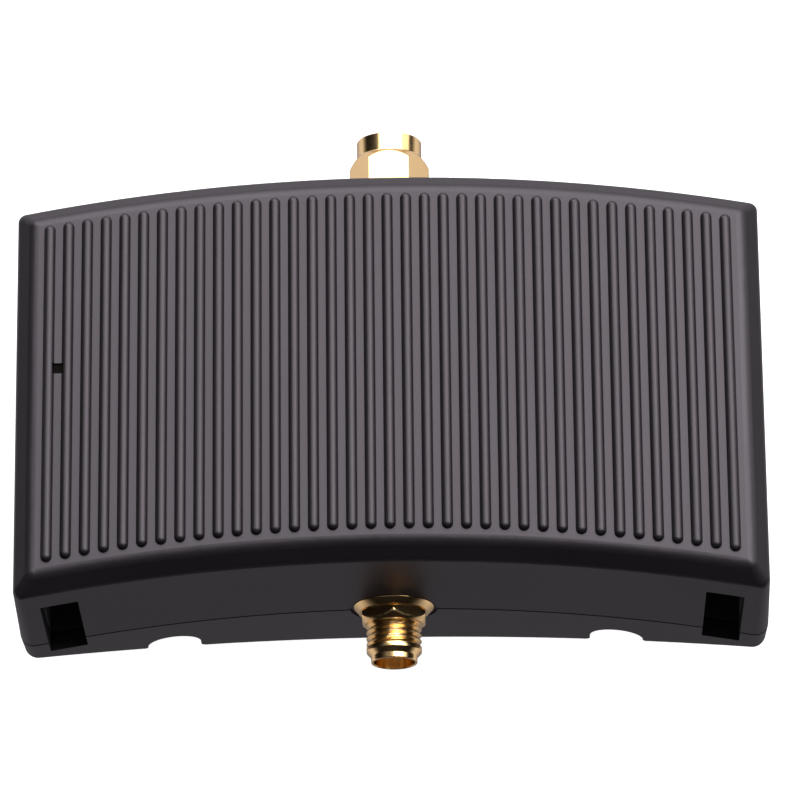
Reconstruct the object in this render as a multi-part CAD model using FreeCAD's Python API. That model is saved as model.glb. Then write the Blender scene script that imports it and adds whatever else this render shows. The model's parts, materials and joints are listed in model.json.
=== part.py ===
"""In-line cellular signal booster: a bowed two-shell case with a ribbed roof, a threaded
antenna jack in front, a plug with a coupling nut behind, and the amplifier board inside.

Millimetres, +Z up.  The feet stand on z = 0, X runs along the case's width, the antenna
jack points to -Y and the plug to +Y, and the origin is under the middle of the box that
holds the whole object.  Pieces are drawn about the middle of the case, then moved along Y.
"""
import FreeCAD, Part
import math
import os

V = FreeCAD.Vector

# --- case, seen from above -------------------------------------------------------------
WIDTH = 84.2              # side to side at the seam
DEPTH = 46.5              # front wall to back wall at the seam
BOW_R = 221.0             # radius of the front and back walls, both bowed towards the back
CORNER_R = 1.5            # upright corners at the seam
SMALL_CORNER_R = 0.7      # upright corners never get sharper than this

# --- case, seen from the front ---------------------------------------------------------
WALL_HEIGHT = 16.05       # seam to the lower edge of the roof bevel
TOP_BEVEL = 1.85          # roof bevel, as wide as it is high
ROOF_EDGE_R = 1.6         # rounding between the roof and its bevel
BEVEL_EDGE_R = 0.9        # rounding between the bevel and the walls
BASE_EDGE_R = 0.3         # rounding between the underside and the lower walls
SIDE_LEAN = 0.55          # how far the upper walls lean in by the bevel
BASE_LEAN = 0.3           # how far the lower walls lean in by the underside
BASE_MID = 12.2           # seam to the underside at mid width
BASE_END = 4.8            # seam to the underside at the side walls
BELLY_CORNER_R = 1.5      # rounding between the underside and the side walls
FLOOR_GAP = 0.8           # underside to the surface that the feet stand on
WALL = 1.8
ROOF = 2.0
SEAM_CHAMFER = 0.18       # both rims are broken, which leaves a fine groove at the seam

# --- tongue and rebate at the seam -----------------------------------------------------
TONGUE_INSET = 1.0
TONGUE_HEIGHT = 1.2
TONGUE_GAP = 0.1

# --- ribs and indicator window ---------------------------------------------------------
RIB_COUNT = 37
RIB_SIDE_MARGIN = 4.32    # case side to the middle of the outermost rib
RIB_WIDTH = 1.26
RIB_FRONT_MARGIN = 1.25   # roof edge to rib end, in front
RIB_BACK_MARGIN = 0.85
WINDOW = 1.2              # square hole over the status light
WINDOW_GAP_NO = 0         # the window lies in this gap between ribs, counted from the left
WINDOW_Y = 2.8            # window centre, behind the case's bowed mid line
PIPE_GAP = 0.05           # light pipe to the window's sides
PIPE_SUNK = 0.25          # light pipe's end below the roof
PIPE_FLANGE = 0.8
LED_HEIGHT = 0.7
LED_TO_PIPE = 0.4

# --- bracket sockets in the front corners ----------------------------------------------
SOCKET_SIDE = 5.3         # case side to the socket's middle
SOCKET_WIDTH = 4.2
SOCKET_BELOW = 3.3        # seam to the socket's lower edge
SOCKET_ABOVE = 12.0
SOCKET_DEPTH = 12.0       # from the seam line of the front wall
LINER_WALL = 0.55
LINER_GAP = 0.15          # liner to the case's inner faces

# --- grooves for a strap or cable tie, front to back under the case --------------------
GROOVE_R = 3.0
GROOVE_ROOF = 5.2         # seam to the top of the groove
GROOVE_SKIN = 1.5
GROOVE_FLARE = 0.6        # how far the groove's feet are cut back at the underside

# --- rubber feet, label ----------------------------------------------------------------
FOOT_WEB = 1.2            # case material between a foot and a groove
FOOT_Y = 13.0
FOOT_R = 4.0
FOOT_GAP = 0.1
FOOT_RECESS_Z = 3.5       # roof of each foot's recess above the floor
FOOT_PAD = 1.5            # case material over the recess
LABEL_X = 20.0
LABEL_Y = 15.0
LABEL_THICK = 0.14
LABEL_RECESS = 0.2

# --- board -----------------------------------------------------------------------------
BOARD_THICK = 1.6
BOARD_INSET = 3.2
PIN_TAIL_R = 0.4          # connector tails lie on the board's upper face
TAIL_GAP = 0.02
SCREW_WEB = 0.6           # case material between a strap groove and a screw's well
CASE_SCREW_Y = 13.0
BOSS_R = 2.6
BOSS_WEB = 0.55           # case screw's boss to a socket's liner
CASE_SCREW_R = 1.1
CASE_HEAD_R = 2.0
CASE_HEAD_H = 1.6
WELL_CEILING = 4.6        # seam down to the seat of a case screw's head
CASE_SCREW_REACH = 7.0    # screw tip above the seam
SCREW_GAP = 0.03          # shank to the plastic that it bites in
HOLE_GAP = 0.2            # shank to the hole that it passes
BOARD_SCREW_X = 31.5
BOARD_SCREW_Y = 2.0
BOARD_SCREW_R = 0.9
BOARD_SCREW_LEN = 4.0
BOARD_HEAD_R = 1.8
BOARD_HEAD_H = 1.1
POST_R = 2.2

# --- heat path -------------------------------------------------------------------------
SPREADER_X = 52.0
SPREADER_Y = 28.0
SPREADER_THICK = 1.5
PEDESTAL_X = 14.0
PEDESTAL_Y = 12.0
PAD_THICK = 1.0
SPREADER_SCREW_X = 22.0
SPREADER_SCREW_Y = 8.0
SPREADER_BOSS_R = 2.4
SPREADER_BOSS_H = 1.2
SPREADER_SCREW_LEN = 3.6

# --- shields and components on the board -----------------------------------------------
CAN_X = 16.0              # centres of the two shields, left and right of the mid line
CAN_Y = -4.0
CAN_LENGTH = 20.0
CAN_DEPTH = 18.0
CAN_HEIGHT = 3.0
CAN_SHEET = 0.25
CAN_GAP = 0.05

# --- threaded panel connectors (1/4-36 thread) -----------------------------------------
THREAD_R = 3.175
SHANK_R = 2.9             # barrel under the nut, the washer and the wall
HOLE_CLEARANCE = 0.15     # barrel to the hole in the wall
SPOT_DEPTH = 0.25         # flat seat sunk into the curved, leaning wall
SPOT_GAP = 0.3            # seat radius beyond the washer
WASHER_R = 4.6
WASHER_THICK = 0.8        # dished, so this is its height under the nut
WASHER_RIM = 0.15
WASHER_FACE_R = 3.9       # the dish slopes from this radius to the rim
NUT_FLATS = 7.14          # 9/32 in across flats
NUT_THICK = 1.45
NUT_CROWN = 0.7           # length of the cone that rounds off the nut's outer face
NUT_CROWN_TRIM = 0.8      # how far that cone reaches in from the corners
FLANGE_SIDE = 8.0
FLANGE_THICK = 2.2
LEG_LENGTH = 3.0
LEG_WIDTH = 1.2
LEG_HEIGHT = 2.2
INSULATOR_R = 2.05
CONTACT_R = 0.635

DUPLEXER = 8.0
TAIL_ROOM = 3.6           # jack's flange to the duplexer behind it
JACK_LENGTH = 6.65        # seat to the mouth
JACK_THREAD_END = 5.45
JACK_CONE = 0.55
JACK_MOUTH_R = 2.6
JACK_BORE_R = 2.3
JACK_BORE_DEPTH = 1.9
SOCKET_BORE_R = 0.47
SOCKET_BORE_DEPTH = 2.2

PLUG_LENGTH = 10.3        # seat to the mouth of the coupling nut
PLUG_SHOULDER = 2.6       # seat to the end of the thick shank
PLUG_NECK_R = 2.45
PLUG_NECK_END = 5.3
PLUG_SHELL_R = 2.29
PLUG_SHELL_END = 7.6
PLUG_PIN_R = 0.46
PLUG_PIN_END = 9.6
RING_START = 4.35
RING_THICK = 0.5
RING_GROOVE = 0.35        # depth of the ring's groove in the neck
RING_PROUD = 0.3          # how far the ring stands out of the neck
GASKET_THICK = 0.5
GASKET_WIDTH = 0.45

COUPLING_START = 2.95
COUPLING_FLATS = 8.0
COUPLING_END_WALL = 1.1
COUPLING_RUN_GAP = 0.06   # running clearance on the neck
COUPLING_RELIEF_R = 3.1
COUPLING_RELIEF_END = 5.6
COUPLING_BORE_R = 2.95
COUPLING_LEAD_IN = 0.4
COLLAR_R = 3.75
COLLAR_LENGTH = 2.1
COLLAR_CONE = 1.1
HEX_CHAMFER = 0.35

# --- power inlet in the back wall (barrel type, 5.5 / 2.1 mm) ---------------------------
INLET_X = -22.0
INLET_WIDTH = 9.0
INLET_HEIGHT = 11.0
INLET_DEPTH = 14.0
INLET_AXIS_UP = 6.2       # board to the barrel's axis
INLET_BORE_R = 3.15
INLET_BORE_DEPTH = 9.5
INLET_HOLE_R = 3.7
INLET_PIN_R = 1.05
INLET_PIN_SUNK = 1.5      # pin's tip inside the housing's open end
INLET_LEAF = 0.3
INLET_LEAF_WIDTH = 2.0

# --- worked out from the sizes above ---------------------------------------------------
BOW = BOW_R - math.sqrt(BOW_R ** 2 - (WIDTH / 2) ** 2)
SEAM_Z = FLOOR_GAP + BASE_MID
BEVEL_Z = SEAM_Z + WALL_HEIGHT
TOP_Z = BEVEL_Z + TOP_BEVEL
CEILING_Z = TOP_Z - ROOF
BOARD_TOP = SEAM_Z - PIN_TAIL_R - TAIL_GAP
BOARD_LOW = BOARD_TOP - BOARD_THICK
FRONT_SEAT = -DEPTH / 2 + BOW / 2 + SPOT_DEPTH
BACK_SEAT = DEPTH / 2 + BOW / 2 - SPOT_DEPTH
SHIFT_Y = -(FRONT_SEAT - JACK_LENGTH + BACK_SEAT + PLUG_LENGTH) / 2
RIB_R = RIB_WIDTH / 2
RIB_PITCH = (WIDTH - 2 * RIB_SIDE_MARGIN) / (RIB_COUNT - 1)
SOCKET_X = WIDTH / 2 - SOCKET_SIDE
CASE_SCREW_X = SOCKET_X - SOCKET_WIDTH / 2 - LINER_WALL - BOSS_WEB - BOSS_R
GROOVE_X = CASE_SCREW_X - HOLE_GAP - CASE_HEAD_R - SCREW_WEB - GROOVE_R
FOOT_X = GROOVE_X - GROOVE_R - FOOT_WEB - FOOT_R
WINDOW_X = (WINDOW_GAP_NO + 0.5 - (RIB_COUNT - 1) / 2) * RIB_PITCH
LID_TOP = BOARD_TOP + CAN_HEIGHT + CAN_SHEET
BIG = 200.0               # longer than anything in the case


def bow(x):
    """Y of the case's bowed mid line at x."""
    return BOW / 2 - BOW_R + math.sqrt(BOW_R ** 2 - x ** 2)


def box(x, y, z, length, depth, height):
    """Box centred on x and y, standing on z."""
    return Part.makeBox(length, depth, height, V(x - length / 2, y - depth / 2, z))


def post(x, y, low, high, radius):
    """Upright round bar."""
    return Part.makeCylinder(radius, high - low, V(x, y, low))


def bar(y_from, y_to, radius, radius_to=None, x=0.0, z=None):
    """Round bar or cone along Y, on the connectors' axis unless told otherwise."""
    place = V(x, min(y_from, y_to), SEAM_Z if z is None else z)
    length = abs(y_to - y_from)
    if radius_to is None:
        return Part.makeCylinder(radius, length, place, V(0, 1, 0))
    first, last = (radius, radius_to) if y_to > y_from else (radius_to, radius)
    return Part.makeCone(first, last, length, place, V(0, 1, 0))


def hexagon_bar(y_from, y_to, flats, turn):
    """Hexagonal bar along Y on the connectors' axis; turn 0 puts a flat on top."""
    radius = flats / math.sqrt(3)
    angles = [math.radians(turn + 60 * step) for step in range(6)]
    points = [V(radius * math.cos(a), y_from, SEAM_Z + radius * math.sin(a)) for a in angles]
    face = Part.Face(Part.makePolygon(points + points[:1]))
    return face.extrude(V(0, y_to - y_from, 0))


def join(shapes):
    """One solid from shapes that touch or overlap."""
    whole = shapes[0].multiFuse(shapes[1:]) if len(shapes) > 1 else shapes[0]
    return whole.removeSplitter()


def group(shapes):
    """Separate solids kept in one node."""
    return Part.makeCompound(shapes)


def rounded_corner(limit, centre, radius, corner, outside):
    """Tangent points of a corner between the line u = limit and an arc centred on u = 0."""
    reach = radius + corner if outside else radius - corner
    u = limit - corner
    v = centre + math.sqrt(reach ** 2 - u ** 2)
    on_line = (limit, v)
    on_arc = (u * radius / reach, centre + (v - centre) * radius / reach)
    toward = (0.5 * (on_line[0] + on_arc[0]) - u, 0.5 * (on_line[1] + on_arc[1]) - v)
    scale = corner / math.hypot(*toward)
    middle = (u + toward[0] * scale, v + toward[1] * scale)
    return on_line, middle, on_arc


def arc(points):
    return Part.Arc(*points).toShape()


def line(start, end):
    return Part.LineSegment(start, end).toShape()


def outline(inset, z):
    """The case's outline, inset from its outline at the seam, as a wire at height z."""
    half = WIDTH / 2 - inset
    corner = max(CORNER_R - inset, SMALL_CORNER_R)
    middle_y = BOW / 2 - BOW_R
    front = (middle_y - DEPTH / 2, BOW_R + inset)
    back = (middle_y + DEPTH / 2, BOW_R - inset)

    def at(point, side):
        return V(side * point[0], point[1], z)

    f_line, f_mid, f_arc = rounded_corner(half, front[0], front[1], corner, True)
    b_line, b_mid, b_arc = rounded_corner(half, back[0], back[1], corner, False)
    edges = [
        arc([at(f_arc, -1), V(0, front[0] + front[1], z), at(f_arc, 1)]),
        arc([at(f_arc, 1), at(f_mid, 1), at(f_line, 1)]),
        line(at(f_line, 1), at(b_line, 1)),
        arc([at(b_line, 1), at(b_mid, 1), at(b_arc, 1)]),
        arc([at(b_arc, 1), V(0, back[0] + back[1], z), at(b_arc, -1)]),
        arc([at(b_arc, -1), at(b_mid, -1), at(b_line, -1)]),
        line(at(b_line, -1), at(f_line, -1)),
        arc([at(f_line, -1), at(f_mid, -1), at(f_arc, -1)]),
    ]
    return Part.Wire(edges)


def stack(sections):
    """Solid through outlines given as (height, inset)."""
    return Part.makeLoft([outline(inset, z) for z, inset in sections], True, True)


def prism(inset, low, high):
    return Part.Face(outline(inset, low)).extrude(V(0, 0, high - low))


def underside(x):
    """Height of the curved underside at x."""
    drop = BASE_MID - BASE_END
    radius = ((WIDTH / 2) ** 2 + drop ** 2) / (2 * drop)
    return SEAM_Z - BASE_MID + radius - math.sqrt(radius ** 2 - x ** 2)


def belly(inset, corner):
    """Everything above the curved underside, with the underside raised by inset."""
    drop = BASE_MID - BASE_END
    radius = ((WIDTH / 2) ** 2 + drop ** 2) / (2 * drop)
    centre = SEAM_Z - BASE_MID + radius
    half = WIDTH / 2 - inset + 0.05
    side, mid, low = rounded_corner(half, -centre, radius - inset, corner, False)

    def at(point, sign):
        return V(sign * point[0], -BIG / 2, -point[1])

    top = SEAM_Z + BIG / 2
    edges = [
        line(V(-half, -BIG / 2, top), at(side, -1)),
        arc([at(side, -1), at(mid, -1), at(low, -1)]),
        arc([at(low, -1), V(0, -BIG / 2, centre - radius + inset), at(low, 1)]),
        arc([at(low, 1), at(mid, 1), at(side, 1)]),
        line(at(side, 1), V(half, -BIG / 2, top)),
        line(V(half, -BIG / 2, top), V(-half, -BIG / 2, top)),
    ]
    return Part.Face(Part.Wire(edges)).extrude(V(0, BIG, 0))


def edges_at(shape, z):
    """Edges that lie at height z."""
    return [e for e in shape.Edges if all(abs(v.Z - z) < 1e-4 for v in e.Vertexes)]


def underside_rim(shape):
    """Edges round the underside, without the seams that run straight back along it."""
    rim = []
    for edge in shape.Edges:
        first, last = edge.Vertexes[0].Point, edge.Vertexes[-1].Point
        straight_back = abs(first.x - last.x) < 1e-3 and abs(first.z - last.z) < 1e-3
        if edge.BoundBox.ZMax < SEAM_Z - BASE_END / 2 and not straight_back:
            rim.append(edge)
    return rim


def four_places(x, y):
    """Two places left and two right, following the case's bow."""
    return [(sx * x, bow(x) + sy * y) for sx in (-1, 1) for sy in (-1, 1)]


def board_screw_places():
    return [(side * BOARD_SCREW_X, bow(BOARD_SCREW_X) + BOARD_SCREW_Y) for side in (-1, 1)]


def spreader_screw_places():
    return [(side * SPREADER_SCREW_X, SPREADER_SCREW_Y) for side in (-1, 1)]


def wall_openings():
    """What is cut from both shells' walls: connector holes, their flat seats, sockets."""
    hole = SHANK_R + HOLE_CLEARANCE
    seat = WASHER_R + SPOT_GAP
    cuts = [
        bar(FRONT_SEAT - BIG / 10, FRONT_SEAT + 2 * WALL, hole),
        bar(FRONT_SEAT - BIG / 10, FRONT_SEAT, seat),
        bar(BACK_SEAT + BIG / 10, BACK_SEAT - 2 * WALL, hole),
        bar(BACK_SEAT + BIG / 10, BACK_SEAT, seat),
    ]
    # The connectors' flanges bear on flat pads inside, so the curved wall is pared there.
    for flat, way in ((FRONT_SEAT, 1), (BACK_SEAT, -1)):
        inner = flat + way * (WALL - SPOT_DEPTH)
        side = FLANGE_SIDE + 2 * HOLE_GAP
        cuts.append(box(0, inner + way * WALL / 2, SEAM_Z - side / 2, side, WALL, side))
    for side in (-1, 1):
        front = -DEPTH / 2 + bow(SOCKET_X)
        cuts.append(box(side * SOCKET_X, front, SEAM_Z - SOCKET_BELOW,
                        SOCKET_WIDTH, 4 * WALL, SOCKET_BELOW + SOCKET_ABOVE))
    return cuts


def make_top_shell():
    outer = stack([(SEAM_Z, SEAM_CHAMFER), (SEAM_Z + SEAM_CHAMFER, 0.0),
                   (BEVEL_Z, SIDE_LEAN), (TOP_Z, SIDE_LEAN + TOP_BEVEL)])
    outer = outer.makeFillet(BEVEL_EDGE_R, edges_at(outer, BEVEL_Z))
    outer = outer.makeFillet(ROOF_EDGE_R, edges_at(outer, TOP_Z))
    inner = stack([(SEAM_Z - WALL, WALL), (CEILING_Z, WALL + SIDE_LEAN)])
    rebate = prism(TONGUE_INSET - TONGUE_GAP, SEAM_Z - WALL,
                   SEAM_Z + TONGUE_HEIGHT + TONGUE_GAP)
    shell = outer.cut(inner.fuse(rebate))

    front_edge = -DEPTH / 2 + SIDE_LEAN + TOP_BEVEL + RIB_FRONT_MARGIN + RIB_R
    back_edge = DEPTH / 2 - SIDE_LEAN - TOP_BEVEL - RIB_BACK_MARGIN - RIB_R
    ribs = []
    for number in range(RIB_COUNT):
        x = (number - (RIB_COUNT - 1) / 2) * RIB_PITCH
        start, end = front_edge + bow(x), back_edge + bow(x)
        ribs.append(bar(start, end, RIB_R, x=x, z=TOP_Z))
        ribs += [Part.makeSphere(RIB_R, V(x, y, TOP_Z)) for y in (start, end)]
    bosses = [post(x, y, BOARD_TOP, CEILING_Z + ROOF / 2, BOSS_R)
              for x, y in four_places(CASE_SCREW_X, CASE_SCREW_Y)]
    bosses += [post(x, y, CEILING_Z - SPREADER_THICK - SPREADER_BOSS_H, CEILING_Z + ROOF / 2,
                    SPREADER_BOSS_R) for x, y in spreader_screw_places()]
    shell = join([shell] + ribs + bosses)

    pilots = [post(x, y, BOARD_TOP - 1, SEAM_Z + CASE_SCREW_REACH + 1,
                   CASE_SCREW_R + SCREW_GAP) for x, y in four_places(CASE_SCREW_X, CASE_SCREW_Y)]
    boss_low = CEILING_Z - SPREADER_THICK - SPREADER_BOSS_H
    pilots += [post(x, y, boss_low - 1, boss_low + SPREADER_SCREW_LEN, BOARD_SCREW_R + SCREW_GAP)
               for x, y in spreader_screw_places()]
    window = box(WINDOW_X, bow(WINDOW_X) + WINDOW_Y, CEILING_Z - 1, WINDOW, WINDOW, 2 * ROOF)
    inlet = bar(DEPTH / 2 - 3 * WALL, DEPTH / 2 + 3 * WALL, INLET_HOLE_R,
                x=INLET_X, z=BOARD_TOP + INLET_AXIS_UP)
    return shell.cut(pilots + [window, inlet] + wall_openings())


def make_base_shell():
    low = SEAM_Z - BASE_MID - 1
    outer = stack([(SEAM_Z, SEAM_CHAMFER), (SEAM_Z - SEAM_CHAMFER, 0.0), (low, BASE_LEAN)])
    outer = outer.common(belly(0.0, BELLY_CORNER_R))
    outer = outer.makeFillet(BASE_EDGE_R, underside_rim(outer))
    inner = prism(WALL + BASE_LEAN, low, SEAM_Z + WALL)
    inner = inner.common(belly(WALL, SMALL_CORNER_R))
    shell = outer.cut(inner)
    # Without this skirt the tongue would overhang the leaning wall.
    tongue = prism(TONGUE_INSET, SEAM_Z - BASE_END / 3, SEAM_Z + TONGUE_HEIGHT)
    tongue = tongue.cut(prism(WALL, SEAM_Z - BASE_END, SEAM_Z + BASE_END))

    hollow = prism(WALL / 2, low, BOARD_LOW).common(belly(WALL / 2, SMALL_CORNER_R))
    groove_z = SEAM_Z - GROOVE_ROOF - GROOVE_R
    inside = [post(x, y, 0, BOARD_LOW, BOSS_R) for x, y in four_places(CASE_SCREW_X, CASE_SCREW_Y)]
    inside += [post(x, y, 0, BOARD_LOW, POST_R) for x, y in board_screw_places()]
    inside += [post(x, y, 0, FOOT_RECESS_Z + FOOT_PAD, FOOT_R + FOOT_GAP + FOOT_PAD)
               for x, y in four_places(FOOT_X, FOOT_Y)]
    inside += [bar(-BIG / 2, BIG / 2, GROOVE_R + GROOVE_SKIN, x=side * GROOVE_X, z=groove_z)
               for side in (-1, 1)]
    shell = join([shell, tongue] + [piece.common(hollow) for piece in inside])

    cuts = wall_openings()
    for side in (-1, 1):
        cuts.append(bar(-BIG / 2, BIG / 2, GROOVE_R, x=side * GROOVE_X, z=groove_z))
        cuts.append(box(side * GROOVE_X, 0, groove_z - BASE_MID, 2 * GROOVE_R, BIG, BASE_MID))
        cuts.append(groove_feet(side))
    seat = SEAM_Z - WELL_CEILING
    for x, y in four_places(CASE_SCREW_X, CASE_SCREW_Y):
        cuts.append(post(x, y, 0, seat, CASE_HEAD_R + HOLE_GAP))
        cuts.append(post(x, y, 0, SEAM_Z, CASE_SCREW_R + HOLE_GAP))
    for x, y in board_screw_places():
        cuts.append(post(x, y, BOARD_TOP - BOARD_SCREW_LEN, SEAM_Z, BOARD_SCREW_R + SCREW_GAP))
    for x, y in four_places(FOOT_X, FOOT_Y):
        cuts.append(post(x, y, -1, FOOT_RECESS_Z, FOOT_R + FOOT_GAP))
    recess = box(0, bow(0), 0, LABEL_X + 2 * FOOT_GAP, LABEL_Y + 2 * FOOT_GAP, SEAM_Z)
    cuts.append(recess.cut(belly(LABEL_RECESS, SMALL_CORNER_R)))
    return shell.cut(cuts)


def groove_feet(side):
    """What is cut back where a strap groove meets the underside."""
    corners = [(GROOVE_X - GROOVE_R - GROOVE_FLARE, -1), (GROOVE_X + GROOVE_R + GROOVE_FLARE, -1)]
    for way in (1, -1):
        edge = GROOVE_X + way * GROOVE_R
        low = underside(edge)
        slope = [(edge + way * GROOVE_FLARE, low), (edge, low + GROOVE_FLARE)]
        corners += slope if way > 0 else slope[::-1]
    points = [V(side * x, -BIG / 2, z) for x, z in corners]
    return Part.Face(Part.makePolygon(points + points[:1])).extrude(V(0, BIG, 0))


def room_inside(low):
    """The space inside both shells, from z = low to the ceiling, for pieces behind a wall."""
    lower = WALL + BASE_LEAN + LINER_GAP
    return stack([(low, lower), (SEAM_Z, lower), (CEILING_Z, WALL + SIDE_LEAN + LINER_GAP)])


def make_bracket_liner(side):
    """Blind rectangular pocket behind a front corner opening, held between the shells."""
    low = SEAM_Z - SOCKET_BELOW
    height = SOCKET_BELOW + SOCKET_ABOVE
    front = -DEPTH / 2 + bow(SOCKET_X)
    x = side * SOCKET_X
    skin = 2 * LINER_WALL
    hollow = box(x, front, low, SOCKET_WIDTH, 2 * SOCKET_DEPTH, height)
    block = box(x, front, low - LINER_WALL, SOCKET_WIDTH + skin, 2 * SOCKET_DEPTH + skin,
                height + skin)
    over_floor = belly(WALL + LINER_GAP, SMALL_CORNER_R)
    return block.common(room_inside(low - WALL)).common(over_floor).cut(hollow)


def make_light_pipe():
    x, y = WINDOW_X, bow(WINDOW_X) + WINDOW_Y
    stem = WINDOW - 2 * PIPE_GAP
    foot = BOARD_TOP + LED_HEIGHT + LED_TO_PIPE
    flange = box(x, y, CEILING_Z - PIPE_FLANGE, 2 * WINDOW, 2 * WINDOW, PIPE_FLANGE)
    return join([box(x, y, foot, stem, stem, TOP_Z - PIPE_SUNK - foot), flange])


def make_status_led():
    return box(WINDOW_X, bow(WINDOW_X) + WINDOW_Y, BOARD_TOP, 1.6, 0.8, LED_HEIGHT)


def make_main_board():
    board = prism(BOARD_INSET, BOARD_LOW, BOARD_TOP)
    cuts = []
    for x, y in four_places(CASE_SCREW_X, CASE_SCREW_Y):
        cuts.append(post(x, y, 0, SEAM_Z + 1, CASE_SCREW_R + HOLE_GAP))
    for x, y in board_screw_places():
        cuts.append(post(x, y, 0, SEAM_Z + 1, BOARD_SCREW_R + HOLE_GAP))
    notch = FLANGE_SIDE + 2 * HOLE_GAP
    reach = WALL - SPOT_DEPTH + FLANGE_THICK + HOLE_GAP
    for seat, way in ((FRONT_SEAT, 1), (BACK_SEAT, -1)):
        cuts.append(box(0, seat, 0, notch, 2 * reach, SEAM_Z + 1))
    liner = SOCKET_WIDTH + 2 * LINER_WALL + 2 * HOLE_GAP
    depth = SOCKET_DEPTH + LINER_WALL + HOLE_GAP
    for side in (-1, 1):
        cuts.append(box(side * SOCKET_X, -DEPTH / 2 + bow(SOCKET_X), 0, liner, 2 * depth, SEAM_Z + 1))
        edge = box(side * (SOCKET_X + liner), -DEPTH / 2 + bow(SOCKET_X), 0,
                   liner + HOLE_GAP, 2 * depth, SEAM_Z + 1)
        cuts.append(edge)
    return board.cut(cuts)


def connector_flange(seat, way):
    """Square flange inside the wall, with four legs that straddle the board."""
    start = seat + way * (WALL - SPOT_DEPTH)
    end = start + way * FLANGE_THICK
    middle = (start + end) / 2
    pieces = [box(0, middle, SEAM_Z - FLANGE_SIDE / 2, FLANGE_SIDE, FLANGE_THICK, FLANGE_SIDE)]
    leg_x = (FLANGE_SIDE - LEG_WIDTH) / 2
    leg_y = end + way * LEG_LENGTH / 2
    for side in (-1, 1):
        for z in (BOARD_TOP + TAIL_GAP, BOARD_LOW - TAIL_GAP - LEG_HEIGHT):
            height = min(LEG_HEIGHT, SEAM_Z + FLANGE_SIDE / 2 - z)
            pieces.append(box(side * leg_x, leg_y, z, LEG_WIDTH, LEG_LENGTH, height))
    return pieces, end


def make_jack_body():
    pieces, inner = connector_flange(FRONT_SEAT, 1)
    nut_face = FRONT_SEAT - WASHER_THICK - NUT_THICK
    thread_end = FRONT_SEAT - JACK_THREAD_END
    cone_end = thread_end - JACK_CONE
    mouth = FRONT_SEAT - JACK_LENGTH
    pieces += [bar(inner, nut_face, SHANK_R), bar(nut_face, thread_end, THREAD_R),
               bar(thread_end, cone_end, THREAD_R, JACK_MOUTH_R),
               bar(cone_end, mouth, JACK_MOUTH_R)]
    bore_end = mouth + JACK_BORE_DEPTH
    return join(pieces).cut([bar(mouth - 1, bore_end, JACK_BORE_R),
                             bar(bore_end, inner + 1, INSULATOR_R)])


def make_insulator(start, end, core_r):
    return bar(start, end, INSULATOR_R).cut(bar(start - BIG / 10, end + BIG / 10, core_r))


def make_jack_contact():
    face = FRONT_SEAT - JACK_LENGTH + JACK_BORE_DEPTH
    inner = FRONT_SEAT + WALL - SPOT_DEPTH + FLANGE_THICK
    pieces = [bar(face, inner, CONTACT_R), bar(inner, inner + LEG_LENGTH, PIN_TAIL_R)]
    socket = bar(face - 1, face + SOCKET_BORE_DEPTH, SOCKET_BORE_R)
    slot = box(0, face, SEAM_Z - 1, 0.15, SOCKET_BORE_DEPTH, 2)
    return join(pieces).cut([socket, slot])


def make_washer(seat, way):
    """Dished washer, flat under the nut."""
    rim, face = seat + way * WASHER_RIM, seat + way * WASHER_THICK
    dish = join([bar(seat, rim, WASHER_R), bar(rim, face, WASHER_R, WASHER_FACE_R)])
    return dish.cut(bar(seat - way, face + way, SHANK_R + TAIL_GAP))


def make_panel_nut(seat, way):
    """Hexagon nut with a corner on top, its corners rounded off most on the outer face."""
    near = seat + way * WASHER_THICK
    far = near + way * NUT_THICK
    shoulder, crown = near + way * HEX_CHAMFER, far - way * NUT_CROWN
    corner = NUT_FLATS / math.sqrt(3)
    envelope = join([bar(near, shoulder, corner - HEX_CHAMFER, corner + 0.02),
                     bar(shoulder, crown, corner + 0.02),
                     bar(crown, far, corner + 0.02, corner - NUT_CROWN_TRIM)])
    low, high = sorted((near, far))
    nut = hexagon_bar(low, high, NUT_FLATS, 30).common(envelope)
    return nut.cut(bar(low - 1, high + 1, SHANK_R + TAIL_GAP))


def make_plug_body():
    pieces, inner = connector_flange(BACK_SEAT, -1)
    shoulder = BACK_SEAT + PLUG_SHOULDER
    neck_end = BACK_SEAT + PLUG_NECK_END
    shell_end = BACK_SEAT + PLUG_SHELL_END
    pieces += [bar(inner, shoulder, SHANK_R), bar(shoulder, neck_end, PLUG_NECK_R),
               bar(neck_end, shell_end, PLUG_SHELL_R)]
    ring = BACK_SEAT + RING_START
    groove = bar(ring, ring + RING_THICK, PLUG_NECK_R + 1)
    groove = groove.cut(bar(ring - 1, ring + 1 + RING_THICK, PLUG_NECK_R - RING_GROOVE))
    return join(pieces).cut([bar(inner - 1, shell_end + 1, INSULATOR_R), groove])


def make_plug_pin():
    inner = BACK_SEAT - WALL + SPOT_DEPTH - FLANGE_THICK
    tip = BACK_SEAT + PLUG_PIN_END
    shell_end = BACK_SEAT + PLUG_SHELL_END
    point = PLUG_PIN_R * 1.4
    return join([bar(inner - LEG_LENGTH, inner, PIN_TAIL_R), bar(inner, shell_end, CONTACT_R),
                 bar(shell_end, tip - point, PLUG_PIN_R),
                 bar(tip - point, tip, PLUG_PIN_R, PLUG_PIN_R / 3)])


def make_retaining_ring():
    """Open spring ring in the neck's groove, which keeps the coupling nut on."""
    start = BACK_SEAT + RING_START
    ring = bar(start, start + RING_THICK, PLUG_NECK_R + RING_PROUD)
    ring = ring.cut(bar(start - 1, start + 1, PLUG_NECK_R - RING_GROOVE))
    return ring.cut(box(0, start, SEAM_Z, 0.8, 2, 2 * PLUG_NECK_R))


def make_face_gasket():
    start = BACK_SEAT + PLUG_NECK_END
    ring = bar(start, start + GASKET_THICK, PLUG_SHELL_R + GASKET_WIDTH)
    return ring.cut(bar(start - 1, start + 1, PLUG_SHELL_R))


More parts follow.
